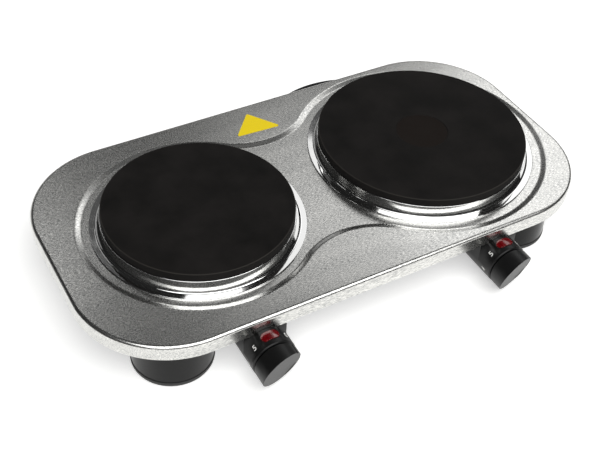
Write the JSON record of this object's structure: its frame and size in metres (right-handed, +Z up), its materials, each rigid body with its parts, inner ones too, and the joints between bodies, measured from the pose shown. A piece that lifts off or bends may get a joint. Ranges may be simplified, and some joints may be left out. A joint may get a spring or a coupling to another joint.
{
  "type": "hot plate burner",
  "caption": "Free-standing electric hot plate with a small and a large cast plate in mirror spill rings on a round-cornered brushed tray, drum feet and front thermostat knobs.",
  "frame": {"origin": "centre of the whole object's outline, on the surface that its feet stand on", "axes": "+X along the tray towards the larger plate, +Y towards the rear cord inlet, +Z up; the knobs face -Y"},
  "size_m": [0.463, 0.2961, 0.0678],
  "materials": {
    "brushed_deck": "fine matt brushed grain, one direction",
    "polished_chrome": "mirror polished pressed steel",
    "cast_iron": "matt black heat-resistant coating on turned iron",
    "black_enamelled_steel": "black enamelled sheet",
    "zinc_steel": "zinc plated",
    "black_plastic": "satin moulded, heat resistant",
    "gloss_black_plastic": "glossy moulded",
    "rubber": "matt moulded",
    "red_lens": "translucent red moulded lens",
    "lamp_glass": "clear glass",
    "yellow_marker": "plain printed foil",
    "ceramic": "unglazed",
    "magnesia": "pressed powder",
    "gasket_fibre": "pressed fibre",
    "heater_alloy": "oxidised resistance alloy in its tube",
    "brass": "plain",
    "wire_insulation": "heat-resistant sleeving"
  },
  "bodies": {
    "chassis": {"top_cover": "brushed_deck", "deck_marker": "yellow_marker", "base_plate": "black_enamelled_steel", "cover_pillars": "zinc_steel", "base_screws": "zinc_steel", "foot_screws": "zinc_steel", "foot_nuts": "zinc_steel", "housing_screws": "zinc_steel", "rear_terminal_housing": "black_plastic", "cord_gland": "rubber", "mains_terminal_block": "ceramic", "internal_wires": "wire_insulation", "front_left_foot": "gloss_black_plastic", "front_left_foot_pad": "rubber", "front_right_foot": "gloss_black_plastic", "front_right_foot_pad": "rubber", "rear_left_foot": "gloss_black_plastic", "rear_left_foot_pad": "rubber", "rear_right_foot": "gloss_black_plastic", "rear_right_foot_pad": "rubber", "left_hotplate_casting": "cast_iron", "left_spill_ring": "polished_chrome", "left_ring_gasket": "gasket_fibre", "left_heating_coil": "heater_alloy", "left_insulation_fill": "magnesia", "left_plate_backing": "zinc_steel", "left_clamp_stud": "zinc_steel", "left_clamp_bridge": "zinc_steel", "left_clamp_nut": "zinc_steel", "left_thermostat_bracket": "zinc_steel", "left_terminal_pins": "zinc_steel", "left_terminal_block": "ceramic", "left_thermostat_stack": "ceramic", "left_contact_blades": "brass", "left_control_housing": "black_plastic", "left_pilot_lens": "red_lens", "left_neon_lamp": "lamp_glass", "right_hotplate_casting": "cast_iron", "right_spill_ring": "polished_chrome", "right_ring_gasket": "gasket_fibre", "right_heating_coil": "heater_alloy", "right_insulation_fill": "magnesia", "right_plate_backing": "zinc_steel", "right_clamp_stud": "zinc_steel", "right_clamp_bridge": "zinc_steel", "right_clamp_nut": "zinc_steel", "right_thermostat_bracket": "zinc_steel", "right_terminal_pins": "zinc_steel", "right_terminal_block": "ceramic", "right_thermostat_stack": "ceramic", "right_contact_blades": "brass", "right_control_housing": "black_plastic", "right_pilot_lens": "red_lens", "right_neon_lamp": "lamp_glass"},
    "left_dial": {"left_knob": "black_plastic", "left_control_shaft": "zinc_steel", "left_knob_clip": "zinc_steel"},
    "right_dial": {"right_knob": "black_plastic", "right_control_shaft": "zinc_steel", "right_knob_clip": "zinc_steel"}
  },
  "joints": [
    {"name": "left_dial_turn", "type": "hinge", "parent": "chassis", "child": "left_dial", "pos_m": [-0.109, -0.1316, 0.0224], "axis": [0, 1, 0], "range_deg": [0, 270]},
    {"name": "right_dial_turn", "type": "hinge", "parent": "chassis", "child": "right_dial", "pos_m": [0.112, -0.1316, 0.0224], "axis": [0, 1, 0], "range_deg": [0, 270]}
  ]
}
